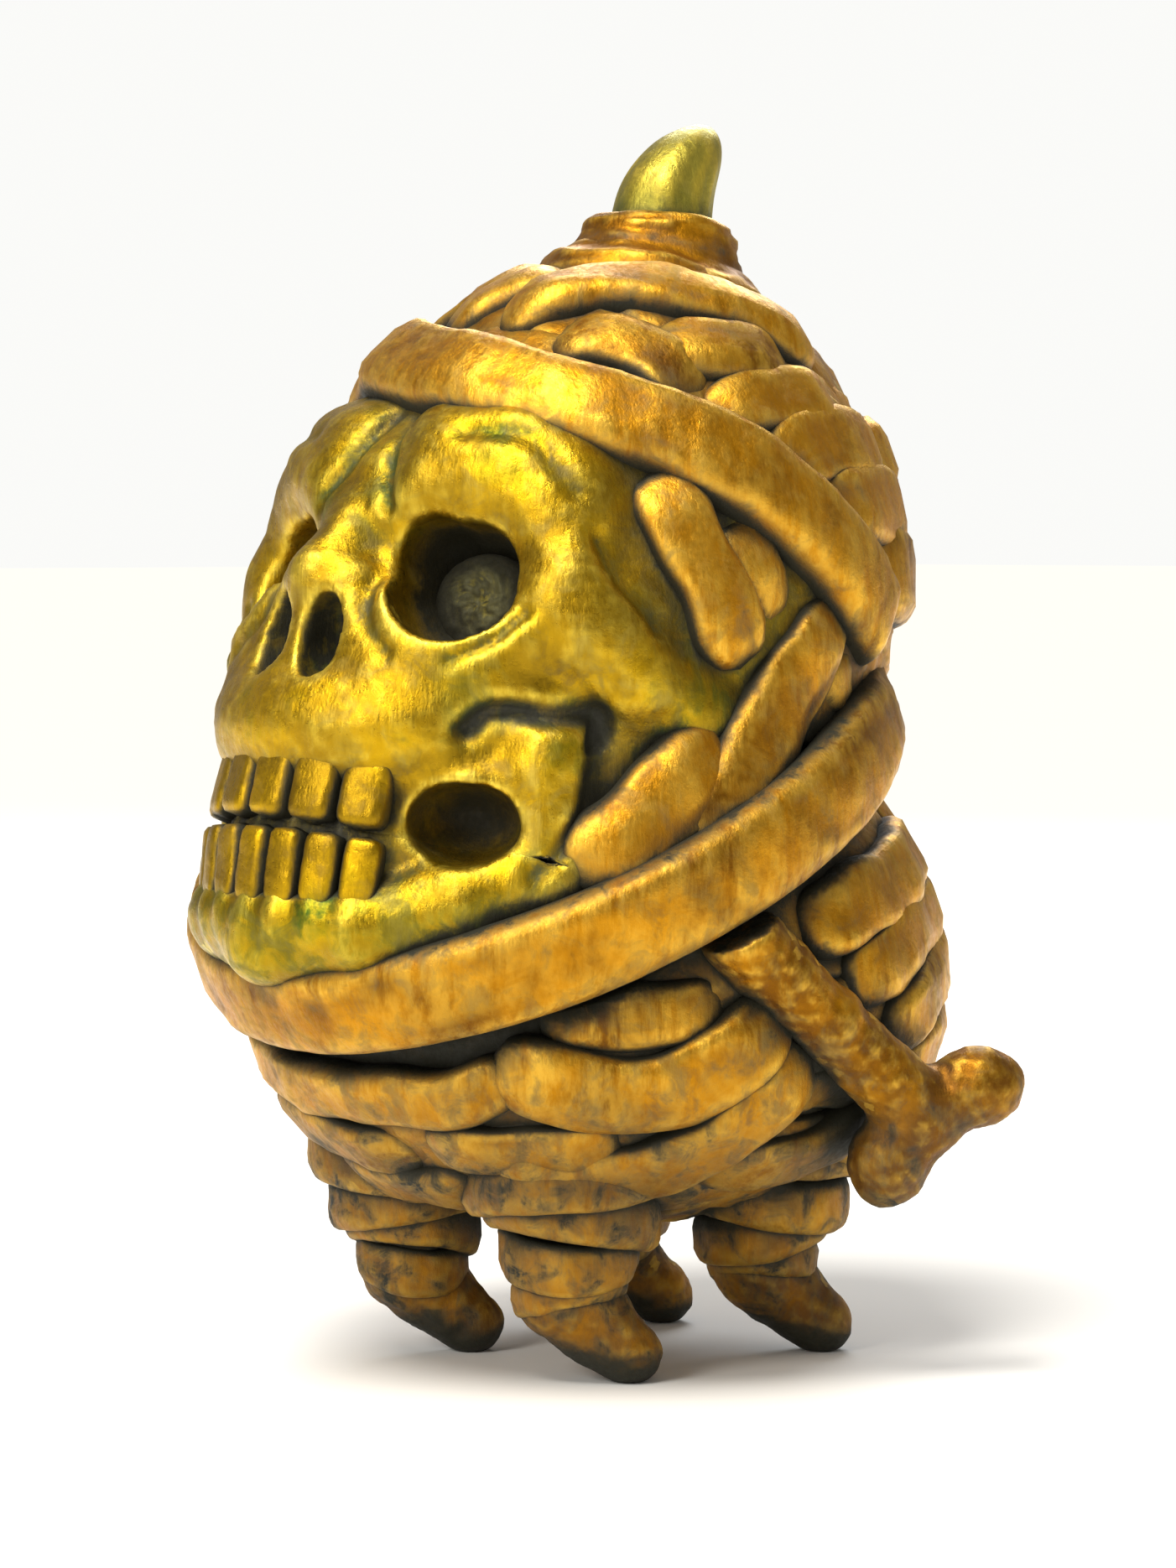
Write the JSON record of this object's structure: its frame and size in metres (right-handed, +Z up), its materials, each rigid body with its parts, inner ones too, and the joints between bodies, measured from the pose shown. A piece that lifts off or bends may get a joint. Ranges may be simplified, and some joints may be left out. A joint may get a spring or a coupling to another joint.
{
  "type": "wrapped skull figurine",
  "caption": "Standing horned skull figurine bound in overlapping gold straps, with a turning head, booted legs and a long bone tucked under the chin band.",
  "frame": {"origin": "on the floor, under the middle of the figure's bounding box", "axes": "+Z up, the face looks along -Y, +X is the figure's left"},
  "size_m": [0.0482, 0.0476, 0.0733],
  "materials": {
    "wrap": "metallic gold-orange paint over moulded plastic, dark wash in the folds",
    "skull": "metallic yellow-gold paint with green tint and dark wash",
    "tooth": "metallic gold paint, dark wash between the teeth",
    "socket": "dark rough paint with a dry-brushed grey-gold centre",
    "horn": "metallic olive-gold paint",
    "bone": "metallic gold-brown paint with dark wash",
    "core": "dark brown-black paint in the deep recesses",
    "boot": "metallic brown-gold paint with dark wash"
  },
  "bodies": {
    "body": {"body_core": "core", "neck_peg": "core", "belly_strap_1": "wrap", "belly_strap_2": "wrap", "belly_strap_5": "wrap", "belly_strap_3": "wrap", "belly_strap_4": "wrap", "hip_strap": "wrap", "waist_tuck": "wrap", "shoulder_strap_1": "wrap", "shoulder_strap_2": "wrap", "shoulder_strap_3": "wrap", "flank_strap_1": "wrap", "flank_strap_2": "wrap", "back_belt_low": "wrap", "back_belt_mid": "wrap", "back_belt_high": "wrap", "shoulder_strap_back": "wrap", "leg_front_left": "boot", "ankle_wrap_front_left": "wrap", "leg_front_right": "boot", "ankle_wrap_front_right": "wrap", "leg_back_left": "boot", "ankle_wrap_back_left": "wrap", "leg_back_right": "boot", "ankle_wrap_back_right": "wrap"},
    "head": {"skull": "skull", "lower_jaw": "skull", "upper_teeth": "tooth", "lower_teeth": "tooth", "eye_floor_left": "socket", "eye_floor_right": "socket", "horn": "horn", "horn_collar": "wrap", "brow_band": "wrap", "chin_band": "wrap", "jaw_strap_left": "wrap", "jaw_strap_right": "wrap", "cheek_strap_left": "wrap", "cheek_strap_right": "wrap", "temple_strap_left": "wrap", "temple_strap_right": "wrap", "temple_tuck": "wrap", "ear_tuck": "wrap", "crown_arc": "wrap", "crown_cross_1": "wrap", "crown_fan_1_left": "wrap", "crown_fan_1_right": "wrap", "crown_cross_2": "wrap", "crown_fan_2_left": "wrap", "crown_fan_2_right": "wrap", "crown_fan_3_left": "wrap", "crown_fan_3_right": "wrap", "crown_front_1": "wrap", "crown_front_2": "wrap", "back_strap_1": "wrap", "back_strap_2": "wrap", "back_strap_3": "wrap"},
    "bone": {"bone": "bone"}
  },
  "joints": [
    {"name": "neck_swivel", "type": "hinge", "parent": "body", "child": "head", "pos_m": [-0.00264, 0.00011, 0.0289], "axis": [0, -0.454, 0.891], "continuous": true},
    {"name": "bone_pull", "type": "slide", "parent": "body", "child": "bone", "axis": [0.2221, 0.7683, -0.6003], "range_m": [0, 0.02]}
  ]
}
